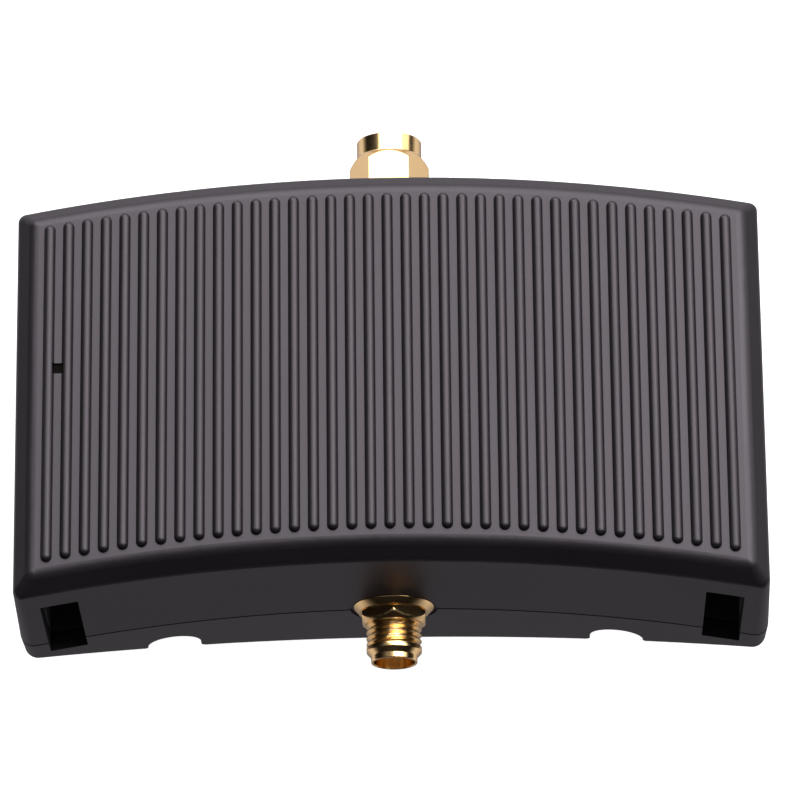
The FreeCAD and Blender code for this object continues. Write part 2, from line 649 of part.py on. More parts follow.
def make_coupling_nut():
    """Hexagon nut with a round collar at its mouth; it turns freely on the plug's neck."""
    start = BACK_SEAT + COUPLING_START
    mouth = BACK_SEAT + PLUG_LENGTH
    collar = mouth - COLLAR_LENGTH
    cone = collar - COLLAR_CONE
    corner = COUPLING_FLATS / math.sqrt(3)
    envelope = join([bar(start, start + HEX_CHAMFER, corner - HEX_CHAMFER, corner + 0.02),
                     bar(start + HEX_CHAMFER, cone, corner + 0.02),
                     bar(cone, collar, corner + 0.02, COLLAR_R)])
    nut = hexagon_bar(start, collar, COUPLING_FLATS, 0).common(envelope)
    nut = join([nut, bar(collar - 0.1, mouth, COLLAR_R)])
    relief = start + COUPLING_END_WALL
    thread = BACK_SEAT + COUPLING_RELIEF_END
    return nut.cut([bar(start - 1, relief, PLUG_NECK_R + COUPLING_RUN_GAP),
                    bar(relief, thread, COUPLING_RELIEF_R),
                    bar(thread, mouth, COUPLING_BORE_R),
                    bar(mouth - COUPLING_LEAD_IN, mouth, COUPLING_BORE_R,
                        COUPLING_BORE_R + COUPLING_LEAD_IN)])


def inlet_end():
    """Y of the inlet's inner end."""
    return DEPTH / 2 + bow(INLET_X) - WALL - INLET_DEPTH


def make_inlet_housing():
    axis_z = BOARD_TOP + INLET_AXIS_UP
    end = inlet_end()
    block = box(INLET_X, end + INLET_DEPTH, BOARD_TOP, INLET_WIDTH, 2 * INLET_DEPTH, INLET_HEIGHT)
    bore_start = end + INLET_DEPTH - INLET_BORE_DEPTH
    bore = bar(bore_start, end + 2 * INLET_DEPTH, INLET_BORE_R, x=INLET_X, z=axis_z)
    pin_hole = bar(end - 1, end + INLET_DEPTH, INLET_PIN_R, x=INLET_X, z=axis_z)
    leaf = box(INLET_X, end, axis_z - INLET_BORE_R - INLET_LEAF - 2 * TAIL_GAP,
               INLET_LEAF_WIDTH + 2 * TAIL_GAP, 2 * (leaf_length() + TAIL_GAP),
               INLET_LEAF + 2 * TAIL_GAP)
    return block.common(room_inside(BOARD_LOW)).cut([bore, pin_hole, leaf])


def make_inlet_pin():
    axis_z = BOARD_TOP + INLET_AXIS_UP
    end = inlet_end()
    tip = end + INLET_DEPTH - INLET_PIN_SUNK
    return join([bar(end, tip - INLET_PIN_R, INLET_PIN_R, x=INLET_X, z=axis_z),
                 Part.makeSphere(INLET_PIN_R, V(INLET_X, tip - INLET_PIN_R, axis_z))])


def leaf_length():
    return INLET_DEPTH - INLET_BORE_DEPTH / 2


def make_inlet_spring():
    """Leaf that presses on the plug's sleeve."""
    low = BOARD_TOP + INLET_AXIS_UP - INLET_BORE_R - INLET_LEAF - TAIL_GAP
    return box(INLET_X, inlet_end() + leaf_length() / 2, low, INLET_LEAF_WIDTH, leaf_length(),
               INLET_LEAF)


def can_frame(x):
    outer = box(x, CAN_Y, BOARD_TOP, CAN_LENGTH, CAN_DEPTH, CAN_HEIGHT)
    inner = box(x, CAN_Y, BOARD_TOP - 1, CAN_LENGTH - 2 * CAN_SHEET, CAN_DEPTH - 2 * CAN_SHEET,
                CAN_HEIGHT + 2)
    divider = box(x, CAN_Y, BOARD_TOP + 0.6, CAN_SHEET, CAN_DEPTH, CAN_HEIGHT - 0.6)
    return join([outer.cut(inner), divider])


def can_lid(x):
    grow = 2 * (CAN_SHEET + CAN_GAP)
    skirt = BOARD_TOP + CAN_HEIGHT - 1.6
    outer = box(x, CAN_Y, skirt, CAN_LENGTH + grow, CAN_DEPTH + grow, LID_TOP - skirt)
    inner = box(x, CAN_Y, skirt - 1, CAN_LENGTH + 2 * CAN_GAP, CAN_DEPTH + 2 * CAN_GAP,
                BOARD_TOP + CAN_HEIGHT - skirt + 1)
    return outer.cut(inner)


def chip(x, y, length, depth, height):
    return box(x, y, BOARD_TOP, length, depth, height)


def make_chip_passives():
    """Rows of small resistors and capacitors beside the shields."""
    small = []
    for row in range(8):
        y = -12.0 + 3.0 * row
        small += [chip(side * 28.3, y + 1.4, 1.0, 0.5, 0.45) for side in (-1, 1)]
    for row in range(5):
        small += [chip(side * (7.0 + 2.2 * row), 7.2, 0.6, 1.2, 0.5) for side in (-1, 1)]
    return group(small)


def make_reservoir_capacitor():
    base = chip(12.0, 13.0, 6.6, 6.6, 0.8)
    can = post(12.0, 13.0, BOARD_TOP + 0.8, BOARD_TOP + 6.5, 3.1)
    return join([base, can])


def make_heat_spreader():
    plate_z = CEILING_Z - SPREADER_THICK
    plate = box(0, 0, plate_z, SPREADER_X, SPREADER_Y, SPREADER_THICK)
    foot = LID_TOP + PAD_THICK
    pedestal = box(-CAN_X, CAN_Y, foot, PEDESTAL_X, PEDESTAL_Y, plate_z - foot)
    holes = [post(x, y, 0, TOP_Z, SPREADER_BOSS_R + HOLE_GAP) for x, y in spreader_screw_places()]
    return join([plate, pedestal]).cut(holes)


def screw(x, y, seat, head_way, radius, length, head_r, head_h):
    """Screw whose head sits on z = seat; head_way is +1 with the head above, -1 below."""
    low = seat - length if head_way > 0 else seat
    shank = post(x, y, low, low + length, radius)
    head_low = seat if head_way > 0 else seat - head_h
    head = post(x, y, head_low, head_low + head_h, head_r)
    recess_low = head_low + head_h / 2 if head_way > 0 else head_low
    arm = head_r * 0.9
    cross = [box(x, y, recess_low, arm, arm / 4, head_h / 2),
             box(x, y, recess_low, arm / 4, arm, head_h / 2)]
    return join([shank, head]).cut(cross)


def make_case_screws():
    seat = SEAM_Z - WELL_CEILING
    return group([screw(x, y, seat, -1, CASE_SCREW_R, SEAM_Z + CASE_SCREW_REACH - seat,
                        CASE_HEAD_R, CASE_HEAD_H)
                  for x, y in four_places(CASE_SCREW_X, CASE_SCREW_Y)])


def make_board_screws():
    return group([screw(x, y, BOARD_TOP, 1, BOARD_SCREW_R, BOARD_SCREW_LEN - 0.3,
                        BOARD_HEAD_R, BOARD_HEAD_H) for x, y in board_screw_places()])


def make_spreader_screws():
    seat = CEILING_Z - SPREADER_THICK - SPREADER_BOSS_H
    return group([screw(x, y, seat, -1, BOARD_SCREW_R, SPREADER_SCREW_LEN - 0.3,
                        SPREADER_BOSS_R + 0.6, BOARD_HEAD_H) for x, y in spreader_screw_places()])


def make_rubber_feet():
    return group([post(x, y, 0, FOOT_RECESS_Z, FOOT_R) for x, y in four_places(FOOT_X, FOOT_Y)])


def make_rating_label():
    """Blank label in a shallow recess of the curved underside."""
    outer = box(0, bow(0), 0, LABEL_X, LABEL_Y, SEAM_Z)
    low = LABEL_RECESS - LABEL_THICK
    return outer.common(belly(low, SMALL_CORNER_R)).cut(belly(LABEL_RECESS, SMALL_CORNER_R))


def save(name, shape):
    placed = shape.copy()
    placed.translate(V(0, SHIFT_Y, 0))
    placed.exportStep("parts/" + name + ".step")


JACK_FACE = FRONT_SEAT - JACK_LENGTH + JACK_BORE_DEPTH
JACK_INNER = FRONT_SEAT + WALL - SPOT_DEPTH + FLANGE_THICK
PLUG_INNER = BACK_SEAT - WALL + SPOT_DEPTH - FLANGE_THICK

PARTS = {
    "top_shell": make_top_shell(),
    "base_shell": make_base_shell(),
    "bracket_socket_left": make_bracket_liner(-1),
    "bracket_socket_right": make_bracket_liner(1),
    "light_pipe": make_light_pipe(),
    "status_led": make_status_led(),
    "main_board": make_main_board(),
    "front_jack_body": make_jack_body(),
    "front_jack_insulator": make_insulator(JACK_FACE, JACK_INNER, CONTACT_R),
    "front_jack_contact": make_jack_contact(),
    "front_jack_washer": make_washer(FRONT_SEAT, -1),
    "front_jack_nut": make_panel_nut(FRONT_SEAT, -1),
    "rear_plug_body": make_plug_body(),
    "rear_plug_insulator": make_insulator(PLUG_INNER, BACK_SEAT + PLUG_SHELL_END, CONTACT_R),
    "rear_plug_pin": make_plug_pin(),
    "rear_plug_washer": make_washer(BACK_SEAT, 1),
    "rear_plug_nut": make_panel_nut(BACK_SEAT, 1),
    "retaining_ring": make_retaining_ring(),
    "plug_face_gasket": make_face_gasket(),
    "coupling_nut": make_coupling_nut(),
    "power_inlet_housing": make_inlet_housing(),
    "power_inlet_pin": make_inlet_pin(),
    "power_inlet_spring": make_inlet_spring(),
    "uplink_shield_frame": can_frame(-CAN_X),
    "uplink_shield_lid": can_lid(-CAN_X),
    "downlink_shield_frame": can_frame(CAN_X),
    "downlink_shield_lid": can_lid(CAN_X),
    "antenna_duplexer": chip(0, JACK_INNER + TAIL_ROOM + DUPLEXER / 2, DUPLEXER, DUPLEXER, 2.4),
    "modem_duplexer": chip(0, 10.5, DUPLEXER, DUPLEXER, 2.4),
    "uplink_power_amplifier": chip(-20.0, -5.0, 5.0, 5.0, 0.9),
    "uplink_driver_amplifier": chip(-11.0, -5.0, 3.0, 3.0, 0.9),
    "downlink_low_noise_amplifier": chip(12.0, -5.0, 3.0, 3.0, 0.9),
    "downlink_output_amplifier": chip(20.5, -5.0, 4.0, 4.0, 0.9),
    "gain_control_chip": chip(23.0, 12.0, 7.0, 7.0, 1.0),
    "voltage_regulator": chip(-9.0, 17.5, 6.2, 3.6, 1.6),
    "power_inductor": chip(-11.0, 11.5, 6.0, 6.0, 3.0),
    "reservoir_capacitor": make_reservoir_capacitor(),
    "chip_passives": make_chip_passives(),
    "thermal_pad": box(-CAN_X, CAN_Y, LID_TOP, PEDESTAL_X, PEDESTAL_Y, PAD_THICK),
    "heat_spreader": make_heat_spreader(),
    "spreader_screws": make_spreader_screws(),
    "case_screws": make_case_screws(),
    "board_screws": make_board_screws(),
    "rubber_feet": make_rubber_feet(),
    "rating_label": make_rating_label(),
}

os.makedirs("parts", exist_ok=True)
for part_name, part_shape in PARTS.items():
    save(part_name, part_shape)
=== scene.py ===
"""Looks of the in-line cellular signal booster: finishes for every part, detailed connectors,
a pale floor, soft light from above and behind, and the camera.

Drawing sizes are millimetres.  A connector's own frame has +Y pointing out of the case and
Y = 0 on the flat seat that its washer bears on.
"""

import json
import math

import bmesh
import bpy
from mathutils import Matrix, Vector


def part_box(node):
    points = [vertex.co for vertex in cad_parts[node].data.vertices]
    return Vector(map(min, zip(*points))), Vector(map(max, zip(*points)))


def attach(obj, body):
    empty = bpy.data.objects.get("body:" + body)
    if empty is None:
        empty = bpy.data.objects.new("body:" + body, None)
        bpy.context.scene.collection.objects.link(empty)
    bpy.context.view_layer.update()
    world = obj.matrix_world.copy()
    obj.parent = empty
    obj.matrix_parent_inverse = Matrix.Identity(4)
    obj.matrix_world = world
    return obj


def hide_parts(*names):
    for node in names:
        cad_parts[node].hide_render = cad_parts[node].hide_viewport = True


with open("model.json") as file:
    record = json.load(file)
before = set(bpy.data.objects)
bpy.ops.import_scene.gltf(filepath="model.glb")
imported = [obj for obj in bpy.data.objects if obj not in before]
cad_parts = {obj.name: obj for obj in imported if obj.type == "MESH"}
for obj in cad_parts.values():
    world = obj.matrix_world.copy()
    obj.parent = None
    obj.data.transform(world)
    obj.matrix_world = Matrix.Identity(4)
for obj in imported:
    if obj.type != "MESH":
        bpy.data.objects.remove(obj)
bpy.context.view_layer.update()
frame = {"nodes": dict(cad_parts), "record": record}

MM = 0.001
TURN = 2 * math.pi

# --- connectors, 1/4-36 thread -----------------------------------------------------------
COLUMNS = 96              # steps round a turned piece; divides by 4 and by 6
SOFT_EDGE = 0.05          # rounding of turned edges
CHAMFER = 0.05
THREAD_R = 3.175
CREST_R = THREAD_R - 0.06
THREAD_PITCH = 25.4 / 36
THREAD_DEPTH = 0.40
THREAD_FADE = 0.30        # how far a thread takes to reach its depth
# One turn of thread: share of the pitch, share of the depth.
THREAD_FORM = ((0.0, 0.0), (0.055, 0.0), (0.085, 0.05), (0.37, 0.95), (0.40, 1.0), (0.60, 1.0),
               (0.63, 0.95), (0.915, 0.05), (0.945, 0.0))

# --- jack's body -------------------------------------------------------------------------
SHANK_R = 2.9             # where the nut and washer sit
THREAD_END = 4.95
CONE_START = 5.45
CONE_END = 6.0
MOUTH = 6.65
MOUTH_R = 2.60
MOUTH_BORE_R = 2.30
BORE_STEP = 4.75          # inner end of the mouth's bore
CORE_R = 2.05             # insulator's hole
WALL_IN = 1.55            # seat to the inside pad of the wall
FLANGE = 2.2
FLANGE_SIDE = 8.0
FLANGE_CORNER_R = 0.4
FLANGE_BLANK_R = 6.5      # turned radius that the square flange is cut from

# --- washers and panel nuts --------------------------------------------------------------
BORE_R = SHANK_R + 0.02   # hole in a washer or panel nut
WASHER_R = 4.6
WASHER_RIM = 0.15
WASHER_THICK = 0.8
WASHER_FACE_R = 3.9
NUT_FACE = 2.25           # outer face of a panel nut
NUT_FLATS = 7.14
NUT_CORNER_R = 0.10
NUT_CROWN = 0.7           # length of the crown, and how far it cuts the corners back
NUT_CROWN_TRIM = 0.8
BORE_BREAK = 0.10         # chamfer at a panel nut's hole
HEX_CHAMFER = 0.35        # length of a plain hexagon chamfer, and its cut
HEX_TRIM = 0.42
CORNER_SPARE = 0.02       # blank past a hexagon's corners before they are rounded

# --- plug's coupling nut -----------------------------------------------------------------
COUPLING_FLATS = 8.0
COUPLING_CORNER_R = 0.14
COUPLING_START = 2.95
COUPLING_MOUTH = 10.3
COLLAR_START = 8.2        # where the cone from the hexagon meets the collar
CONE_FOOT = 7.1           # inner end of that cone, on the hexagon
COLLAR_R = 3.75
COUPLING_BORE_R = 2.95
COUPLING_RELIEF_R = 3.1
COUPLING_THREAD = (5.6, 9.9)    # start and end
COUPLING_THREAD_DEPTH = 0.8 * THREAD_DEPTH
NECK_HOLE_R = 2.51
NECK_HOLE_END = 4.05


# === shader helpers ======================================================================
MIX_FIRST = 6             # colour sockets of a Mix node, and its colour output
MIX_SECOND = 7
MIX_COLOR = 2


class Wire:
    """An output socket; arithmetic on it adds Math nodes."""

    def __init__(self, finish, socket):
        self.finish = finish
        self.socket = socket

    def math(self, operation, first, second):
        return self.finish.node("ShaderNodeMath", {"operation": operation}, {0: first, 1: second})

    def __add__(self, other):
        return self.math("ADD", self, other)

    __radd__ = __add__

    def __mul__(self, other):
        return self.math("MULTIPLY", self, other)

    __rmul__ = __mul__


class Finish:
    """A material, or the world, built node by node."""

    def __init__(self, owner):
        owner.use_nodes = True
        self.owner = owner
        self.tree = owner.node_tree
        self.tree.nodes.clear()

    def node(self, kind, settings=None, inputs=None, output=0):
        """Adds a node, applies its settings, then fills or links its input sockets."""
        made = self.tree.nodes.new(kind)
        for key, value in (settings or {}).items():
            if key == "stops":
                ramp = made.color_ramp.elements
                while len(ramp) < len(value):
                    ramp.new(0.5)
                for element, (position, color) in zip(ramp, value):
                    element.position = position
                    element.color = color
            else:
                setattr(made, key, value)
        for key, value in (inputs or {}).items():
            if isinstance(value, Wire):
                self.tree.links.new(value.socket, made.inputs[key])
            else:
                made.inputs[key].default_value = value
        return Wire(self, made.outputs[output]) if made.outputs else None

    def place(self, stretch=(1, 1, 1)):
        """Object coordinates in millimetres, stretched where asked."""
        spot = self.node("ShaderNodeTexCoord", output="Object")
        return self.node("ShaderNodeMapping", None,
                         {"Vector": spot, "Scale": [s / MM for s in stretch]})

    def noise(self, per_mm, detail=2.0, stretch=(1, 1, 1)):
        return self.node("ShaderNodeTexNoise", None,
                         {"Vector": self.place(stretch), "Scale": per_mm, "Detail": detail})

    def blend(self, factor, first, second):
        """Colour between first and second."""
        return self.node("ShaderNodeMix", {"data_type": "RGBA"},
                         {"Factor": factor, MIX_FIRST: (*first, 1), MIX_SECOND: (*second, 1)},
                         output=MIX_COLOR)

    def bump(self, height, strength, depth_mm):
        return self.node("ShaderNodeBump", None,
                         {"Height": height, "Strength": strength, "Distance": depth_mm * MM})

    def surface(self, **inputs):
        """Principled shader straight into the output; names use _ for a space."""
        filled = {key.replace("_", " "): value for key, value in inputs.items()}
        shader = self.node("ShaderNodeBsdfPrincipled", None, filled)
        self.node("ShaderNodeOutputMaterial", None, {"Surface": shader})
        return self.owner


def material(name):
    return Finish(bpy.data.materials.new(name))


# === finishes ============================================================================
def case_plastic():
    """Dark charcoal moulding with a fine spark texture."""
    m = material("charcoal_case_plastic")
    cloud = m.noise(0.045, 3.0)
    grain = m.noise(3.4, 2.0)
    pits = m.noise(1.2, 4.0)
    color = m.blend(cloud, (0.0046, 0.0041, 0.0047), (0.0068, 0.0060, 0.0069))
    height = grain * 0.6 + pits * 0.4
    return m.surface(Base_Color=color, Roughness=0.35 + 0.10 * cloud + 0.06 * grain,
                     Specular_Tint=(1.0, 0.90, 1.0, 1.0), Normal=m.bump(height, 0.35, 0.012))


def plain_plastic(name, low, high, rough, grain_per_mm=3.0, bump=0.25, specular=0.5):
    """Moulded plastic or rubber between two close tones."""
    m = material(name)
    cloud = m.noise(0.25, 3.0)
    grain = m.noise(grain_per_mm, 2.0)
    return m.surface(Base_Color=m.blend(cloud, low, high), Roughness=rough - 0.05 + 0.1 * grain,
                     Specular_IOR_Level=specular, Normal=m.bump(grain, bump, 0.01))


def metal(name, low, high, rough, stretch=(1, 1, 1), bump=0.2):
    """Metal between two tones, with marks drawn out by stretch."""
    m = material(name)
    cloud = m.noise(0.35, 3.0)
    marks = m.noise(2.5, 3.0, stretch)
    return m.surface(Base_Color=m.blend(cloud, low, high), Metallic=1.0,
                     Roughness=rough + 0.12 * marks * cloud, Normal=m.bump(marks, bump, 0.004))


FINISHES = {
    "case_plastic": case_plastic(),
    "black_plastic": plain_plastic("black_moulding", (0.020,) * 3, (0.026,) * 3, 0.62),
    "smoked_pipe": plain_plastic("smoked_pipe", (0.004, 0.003, 0.003), (0.006, 0.004, 0.004), 0.4,
                                 specular=0.01),
    "led_resin": plain_plastic("led_resin", (0.72, 0.70, 0.58), (0.80, 0.78, 0.65), 0.35),
    "board_laminate": plain_plastic("green_board", (0.008, 0.10, 0.035), (0.012, 0.14, 0.05), 0.35),
    "gold_plate": metal("gold_plate", (0.82, 0.55, 0.24), (0.91, 0.65, 0.31), 0.15,
                        (0.15, 6.0, 0.15), bump=0.12),
    "white_ptfe": plain_plastic("white_fluoropolymer", (0.78, 0.78, 0.75), (0.85, 0.85, 0.82), 0.5),
    "spring_bronze": metal("spring_bronze", (0.62, 0.40, 0.18), (0.74, 0.50, 0.25), 0.28),
    "silicone_red": plain_plastic("red_silicone", (0.38, 0.03, 0.02), (0.46, 0.05, 0.03), 0.55),
    "tinned_steel": metal("tinned_steel", (0.58, 0.58, 0.56), (0.68, 0.68, 0.66), 0.3, (0.3, 5, 1)),
    "white_ceramic": plain_plastic("fired_ceramic", (0.70, 0.67, 0.60), (0.78, 0.76, 0.70), 0.4),
    "chip_epoxy": plain_plastic("chip_epoxy", (0.014,) * 3, (0.022,) * 3, 0.55, 6.0),
    "capacitor_can": metal("drawn_can", (0.66, 0.66, 0.67), (0.74, 0.74, 0.75), 0.25, (1, 1, 8)),
    "chip_ceramic": plain_plastic("sintered_chip", (0.38, 0.26, 0.16), (0.52, 0.38, 0.25), 0.5),
    "thermal_silicone": plain_plastic("thermal_pad", (0.36, 0.46, 0.54), (0.45, 0.55, 0.62), 0.75),
    "cast_aluminium": metal("cast_aluminium", (0.58, 0.58, 0.59), (0.70, 0.70, 0.71), 0.42, bump=0.5),
    "zinc_screw": metal("zinc_plate", (0.55, 0.56, 0.58), (0.70, 0.70, 0.70), 0.3),
    "black_rubber": plain_plastic("black_rubber", (0.012,) * 3, (0.020,) * 3, 0.8, 5.0, 0.4),
    "label_film": plain_plastic("label_film", (0.42, 0.42, 0.43), (0.46, 0.46, 0.47), 0.4, 8.0, 0.1),
}

for subpart in frame["record"]["subparts"]:
    coats = frame["nodes"][subpart["node"]].data.materials
    coats.clear()
    coats.append(FINISHES[subpart["material_slot"]])


# === piece helpers =======================================================================
SHARP_ANGLE = math.radians(34)
MERGE_MM = 1e-4           # points nearer than this are one


def soften(points, radius=SOFT_EDGE, closed=True):
    """Rounds each corner of a profile with a three-step curve."""
    made = []
    count = len(points)
    for index, corner in enumerate(points):
        if not closed and index in (0, count - 1):
            made.append(corner)
            continue
        before = Vector(points[index - 1]) - Vector(corner)
        after = Vector(points[(index + 1) % count]) - Vector(corner)
        cut = min(radius, 0.4 * before.length, 0.4 * after.length)
        start = Vector(corner) + before.normalized() * cut
        end = Vector(corner) + after.normalized() * cut
        for t in (0.0, 1 / 3, 2 / 3, 1.0):
            bend = (1 - t) ** 2 * start + 2 * t * (1 - t) * Vector(corner) + t * t * end
            made.append((bend.x, bend.y))
    return made


def polygon_radius(angle, flats, sides, turn, corner_r):
    """Distance from the axis to a polygon with rounded corners, in the direction angle."""
    half = flats / 2
    wedge = TURN / sides
    off = (angle - turn + wedge / 2) % wedge - wedge / 2
    inner = half - corner_r
    if abs(off) <= math.atan(inner * math.tan(wedge / 2) / half):
        return half / math.cos(off)
    reach = inner / math.cos(wedge / 2)
    away = wedge / 2 - abs(off)
    return reach * math.cos(away) + math.sqrt(corner_r ** 2 - (reach * math.sin(away)) ** 2)


def turned(bm, profile, closed=True, rise=0.0):
    """Spins a profile of (y, radius) round Y; rise lifts it by that much in one turn."""
    verts = [bm.verts.new((0.0, y, radius)) for y, radius in profile]
    pairs = list(zip(verts, verts[1:]))
    if closed:
        pairs.append((verts[-1], verts[0]))
    edges = [bm.edges.new(pair) for pair in pairs]
    first = set(bm.verts) - set(verts)
    bmesh.ops.spin(bm, geom=verts + edges, cent=(0, 0, 0), axis=(0, 1, 0),
                   dvec=(0, rise / COLUMNS, 0), angle=TURN, steps=COLUMNS,
                   use_merge=rise == 0, use_duplicate=False)
    return [v for v in bm.verts if v not in first]


def reshape(verts, radius_at):
    """Moves each vertex to the radius that radius_at(y, angle, radius) gives."""
    for v in verts:
        radius = math.hypot(v.co.x, v.co.z)
        wanted = radius_at(v.co.y, math.atan2(v.co.z, v.co.x), radius)
        v.co.x *= wanted / radius
        v.co.z *= wanted / radius


def thread(bm, start, end, radius, depth):
    """Right-hand thread between two y values; a negative depth cuts outwards."""
    turns = math.ceil((end - start) / THREAD_PITCH) + 2
    profile = [(start + (turn - 1 + y) * THREAD_PITCH, radius - depth * cut)
               for turn in range(turns) for y, cut in THREAD_FORM]
    verts = turned(bm, profile, closed=False, rise=THREAD_PITCH)
    for v in verts:
        v.co.y = min(max(v.co.y, start), end)

    def faded(y, angle, was):
        share = min(1.0, (y - start) / THREAD_FADE, (end - y) / THREAD_FADE)
        return radius + (was - radius) * share

    reshape(verts, faded)


def limit_to_polygon(verts, low, high, flats, sides, turn, corner_r):
    """Trims a turned length to a hexagon or square."""
    wanted = [v for v in verts if low <= v.co.y <= high and math.hypot(v.co.x, v.co.z) > flats / 3]
    reshape(wanted, lambda y, angle, radius: min(
        radius, polygon_radius(angle, flats, sides, turn, corner_r)))


def piece(name, bm, slot, body, *nodes):
    """Finished mesh from bm, riding on its body and standing for its CAD nodes."""
    bmesh.ops.remove_doubles(bm, verts=bm.verts, dist=MERGE_MM)
    bmesh.ops.dissolve_degenerate(bm, edges=bm.edges, dist=MERGE_MM)
    bmesh.ops.recalc_face_normals(bm, faces=bm.faces)
    for face in bm.faces:
        face.smooth = True
    mesh = bpy.data.meshes.new(name)
    bm.to_mesh(mesh)
    bm.free()
    mesh.transform(Matrix.Scale(MM, 4))
    mesh.set_sharp_from_angle(angle=SHARP_ANGLE)
    mesh.materials.append(FINISHES[slot])
    made = bpy.data.objects.new(name, mesh)
    bpy.context.scene.collection.objects.link(made)
    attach(made, body)
    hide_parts(*nodes)
    return made


def to_seat(bm, front):
    """From a connector's own frame to the case, at the front or the back wall."""
    low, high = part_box("front_jack_washer" if front else "rear_plug_washer")
    seat = high.y if front else low.y
    middle = (low + high) / 2
    place = Matrix.Translation((middle.x / MM, seat / MM, middle.z / MM))
    if front:
        place = place @ Matrix.Rotation(math.pi, 4, "Z")
    bm.transform(place)


# === connectors ==========================================================================
def make_jack():
    bm = bmesh.new()
    inner = -WALL_IN - FLANGE
    rest = [(THREAD_END, CREST_R), (CONE_START, CREST_R), (CONE_END, MOUTH_R + 0.02),
            (MOUTH - CHAMFER, MOUTH_R), (MOUTH, MOUTH_R - CHAMFER), (MOUTH, MOUTH_BORE_R + 0.08),
            (MOUTH - CHAMFER, MOUTH_BORE_R + 0.01), (BORE_STEP + 0.03, MOUTH_BORE_R),
            (BORE_STEP, CORE_R), (inner, CORE_R), (inner, FLANGE_BLANK_R),
            (-WALL_IN, FLANGE_BLANK_R), (-WALL_IN, SHANK_R), (NUT_FACE - CHAMFER, SHANK_R),
            (NUT_FACE, CREST_R)]
    body = turned(bm, soften(rest, closed=False), closed=False)
    limit_to_polygon(body, inner - 0.1, -WALL_IN + 0.1, FLANGE_SIDE, 4, 0.0, FLANGE_CORNER_R)
    thread(bm, NUT_FACE, THREAD_END, CREST_R, THREAD_DEPTH)
    to_seat(bm, True)
    return piece("threaded_jack_barrel", bm, "gold_plate", "case", "front_jack_body")


def make_washer(name, node, front):
    bm = bmesh.new()
    turned(bm, soften([(0, BORE_R), (0, WASHER_R), (WASHER_RIM, WASHER_R),
                       (WASHER_THICK, WASHER_FACE_R), (WASHER_THICK, BORE_R)]))
    to_seat(bm, front)
    return piece(name, bm, "gold_plate", "case", node)


def slope(start, end, corner, trim, steps=5):
    """Profile rows from radius trim at start to radius corner at end, cut evenly."""
    return [(start + (end - start) * k / steps, trim + (corner - trim) * k / steps)
            for k in range(steps + 1)]


def make_panel_nut(name, node, front):
    bm = bmesh.new()
    low, high, corner = WASHER_THICK, NUT_FACE, NUT_FLATS / math.sqrt(3) + CORNER_SPARE
    rows = [(low, BORE_R)] + slope(low, low + HEX_CHAMFER, corner, corner - HEX_TRIM)
    rows += reversed(slope(high, high - NUT_CROWN, corner, corner - NUT_CROWN_TRIM))
    rows += [(high, BORE_R + BORE_BREAK), (high - BORE_BREAK, BORE_R)]
    verts = turned(bm, rows)
    limit_to_polygon(verts, low - 1, high + 1, NUT_FLATS, 6, 0.0, NUT_CORNER_R)
    to_seat(bm, front)
    return piece(name, bm, "gold_plate", "case", node)


def make_coupling_nut():
    bm = bmesh.new()
    start, mouth, bore = COUPLING_START, COUPLING_MOUTH, COUPLING_BORE_R
    thread_start, thread_end = COUPLING_THREAD
    corner = COUPLING_FLATS / math.sqrt(3) + CORNER_SPARE
    cone_top = COLLAR_R + 0.01
    rows = [(thread_end, bore), (mouth - 0.04, bore + 0.36), (mouth, bore + 0.42),
            (mouth, COLLAR_R - 0.07), (mouth - 0.08, COLLAR_R), (COLLAR_START + 0.1, COLLAR_R)]
    rows += slope(COLLAR_START, CONE_FOOT, corner, cone_top, 8)
    rows += reversed(slope(start, start + HEX_CHAMFER, corner, corner - HEX_TRIM))
    rows += [(start, NECK_HOLE_R + CHAMFER), (start + CHAMFER, NECK_HOLE_R),
             (NECK_HOLE_END - CHAMFER, NECK_HOLE_R), (NECK_HOLE_END, NECK_HOLE_R + CHAMFER),
             (NECK_HOLE_END, COUPLING_RELIEF_R), (thread_start - 0.1, COUPLING_RELIEF_R),
             (thread_start, bore)]
    verts = turned(bm, rows, closed=False)
    limit_to_polygon(verts, start - 1, COLLAR_START, COUPLING_FLATS, 6, math.radians(30),
                     COUPLING_CORNER_R)
    thread(bm, thread_start, thread_end, bore, -COUPLING_THREAD_DEPTH)
    to_seat(bm, False)
    return piece("plug_coupling_nut", bm, "gold_plate", "plug_nut", "coupling_nut")


make_jack()
make_washer("front_washer", "front_jack_washer", True)
make_washer("rear_washer", "rear_plug_washer", False)
make_panel_nut("front_panel_nut", "front_jack_nut", True)
make_panel_nut("rear_panel_nut", "rear_plug_nut", False)
make_coupling_nut()


# === floor, light, camera ================================================================
FLOOR_HALF = 1.5          # metres
FLOOR_DROP = 0.0001       # keeps the floor clear of the feet


def make_floor():
    bm = bmesh.new()
    bmesh.ops.create_grid(bm, x_segments=1, y_segments=1, size=FLOOR_HALF)
    mesh = bpy.data.meshes.new("floor")
    bm.to_mesh(mesh)
    bm.free()
    m = material("pale_floor")
    speck = m.noise(0.02, 2.0)
    tone = m.blend(speck, (0.34, 0.34, 0.34), (0.37, 0.37, 0.37))
    mesh.materials.append(m.surface(Base_Color=tone, Roughness=0.9, Specular_IOR_Level=0.1,
                                    Emission_Color=(1.0, 1.0, 1.0, 1.0), Emission_Strength=1.0))
    floor = bpy.data.objects.new("floor", mesh)
    bpy.context.scene.collection.objects.link(floor)
    floor.location.z = -FLOOR_DROP
    floor.visible_glossy = False


ROOM_TINT = (1.0, 0.95, 1.02, 1.0)


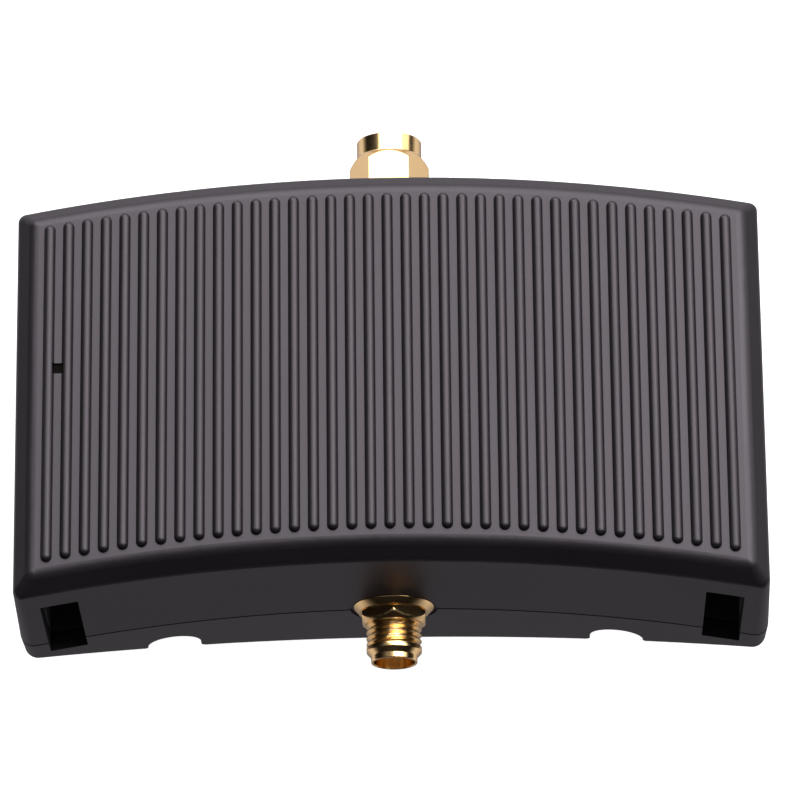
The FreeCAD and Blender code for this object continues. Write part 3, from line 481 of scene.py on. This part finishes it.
def make_world():
    """Dark room over a bright floor, with the floor shaded close in and at the front."""
    w = Finish(bpy.data.worlds.new("studio"))
    bpy.context.scene.world = w.owner
    spot = w.node("ShaderNodeTexCoord", output="Generated")

    def along(axis, *stops):
        """Brightness by direction: stops give it for values of one axis from -1 to 1."""
        way = w.node("ShaderNodeSeparateXYZ", None, {"Vector": spot}, output=axis)
        shades = [(0.5 + 0.5 * place, (shade, shade, shade, 1)) for place, shade in stops]
        return w.node("ShaderNodeValToRGB", {"stops": shades}, {"Fac": 0.5 + 0.5 * way})

    floor = along("Z", (-1.0, 0.25), (-0.88, 0.31), (-0.60, 0.75), (-0.35, 0.95), (-0.15, 0.28),
                  (-0.04, 0.05), (0.01, 0.0))
    front = along("Y", (-0.95, 0.03), (-0.72, 0.30), (-0.50, 0.85), (-0.35, 1.0))
    room = along("Z", (-0.02, 0.0), (0.02, 0.010), (0.40, 0.02), (0.60, 0.05), (0.85, 0.22))
    behind = along("Y", (0.55, 0.0), (0.90, 1.0)) * along("Z", (-0.20, 0.0), (0.05, 1.1))
    shade = floor * front + room + behind
    glow = w.node("ShaderNodeBackground", None, {"Color": ROOM_TINT, "Strength": shade})
    w.node("ShaderNodeOutputWorld", None, {"Surface": glow})


CASE_LOW, CASE_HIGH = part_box("top_shell")
ROOF = Vector((0, (CASE_LOW.y + CASE_HIGH.y) / 2, CASE_HIGH.z))


def softbox(name, away, width, depth, brightness):
    """Rectangular light of a given brightness, facing the middle of the roof from away."""
    lamp = bpy.data.lights.new(name, "AREA")
    lamp.shape = "RECTANGLE"
    lamp.size = width
    lamp.size_y = depth
    lamp.energy = brightness * width * depth * math.pi
    made = bpy.data.objects.new(name, lamp)
    bpy.context.scene.collection.objects.link(made)
    centre = ROOF + Vector(away)
    facing = (ROOF - centre).normalized().to_track_quat("-Z", "Y")
    made.matrix_world = Matrix.Translation(centre) @ facing.to_matrix().to_4x4()
    made.visible_camera = False


softbox("overhead_softbox", (0.10, 0.24, 0.60), width=1.15, depth=0.46, brightness=3.8)
softbox("back_softbox", (0.05, 0.54, 0.40), width=1.00, depth=0.40, brightness=3.2)
softbox("rib_strip", (0.22, 0.16, 0.50), width=0.12, depth=0.50, brightness=5.0)
softbox("right_card", (0.55, 0.20, 0.28), width=0.36, depth=0.36, brightness=1.7)
make_floor()
make_world()

LENS = 235.34             # millimetres, as the sensor's width is
SENSOR_WIDTH = 36.0
DISTANCE = 0.5788         # metres
ELEVATION = math.radians(70.47)
AZIMUTH = math.radians(-2.546)
ROLL = math.radians(-3.319)
TARGET = Vector((0.00123, -0.00644, 0.0308))


def make_camera():
    lens = bpy.data.cameras.new("camera")
    lens.lens = LENS
    lens.sensor_width = SENSOR_WIDTH
    forward = Vector((math.sin(AZIMUTH) * math.cos(ELEVATION),
                      math.cos(AZIMUTH) * math.cos(ELEVATION), -math.sin(ELEVATION)))
    right = Vector((math.cos(AZIMUTH), -math.sin(AZIMUTH), 0))
    up = right.cross(forward)
    right = right * math.cos(ROLL) + up * math.sin(ROLL)
    up = right.cross(forward)
    axes = Matrix((right, up, -forward)).transposed().to_4x4()
    camera = bpy.data.objects.new("camera", lens)
    bpy.context.scene.collection.objects.link(camera)
    camera.matrix_world = Matrix.Translation(TARGET - forward * DISTANCE) @ axes
    bpy.context.scene.camera = camera


make_camera()
bpy.context.scene.view_settings.view_transform = "Standard"
